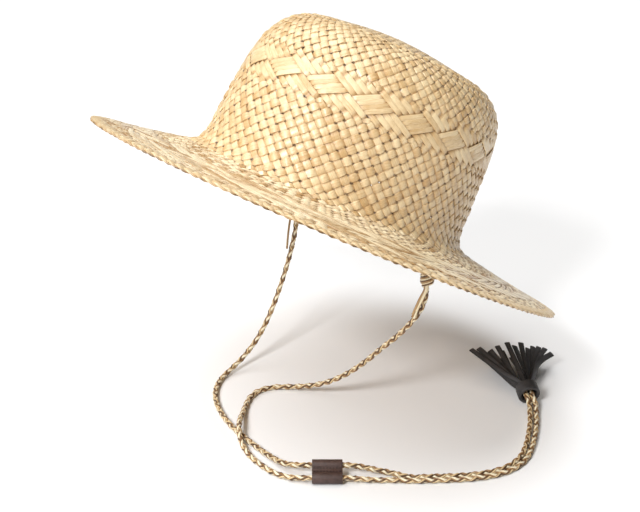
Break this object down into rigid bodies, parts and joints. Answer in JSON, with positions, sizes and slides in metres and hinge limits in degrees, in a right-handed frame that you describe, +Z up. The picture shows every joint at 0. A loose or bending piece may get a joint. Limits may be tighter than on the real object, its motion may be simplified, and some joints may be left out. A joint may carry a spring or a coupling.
{
  "type": "boater hat",
  "caption": "Woven straw hat with a flat round crown, a wide flat brim with a plaited edge, and a braided chin cord with a leather slider and a fringed tassel.",
  "frame": {"origin": "middle of the head opening, level with the root of the brim, held up 150 mm above the surface that the cord lies on", "axes": "-Y to the front, +X to the wearer's left, +Z up. The hat is tipped back 30 degrees about X, as it is worn: the crown's axis points along (0, 0.5, 0.866)"},
  "size_m": [0.3264, 0.3122, 0.2778],
  "materials": {
    "straw": "satin",
    "edge_straw": "satin",
    "braid": "waxed",
    "thread": "matte",
    "brown_leather": "satin",
    "black_leather": "satin"
  },
  "bodies": {
    "root": {"woven_body": "straw", "brim_edge": "edge_straw", "cord_eye_left": "thread", "cord_eye_right": "thread", "cord_knot_left": "braid", "cord_knot_right": "braid", "chin_cord_left": "braid", "chin_cord_right": "braid", "cord_slider": "brown_leather", "tassel_collar": "black_leather", "tassel_fringe": "black_leather"}
  },
  "joints": []
}
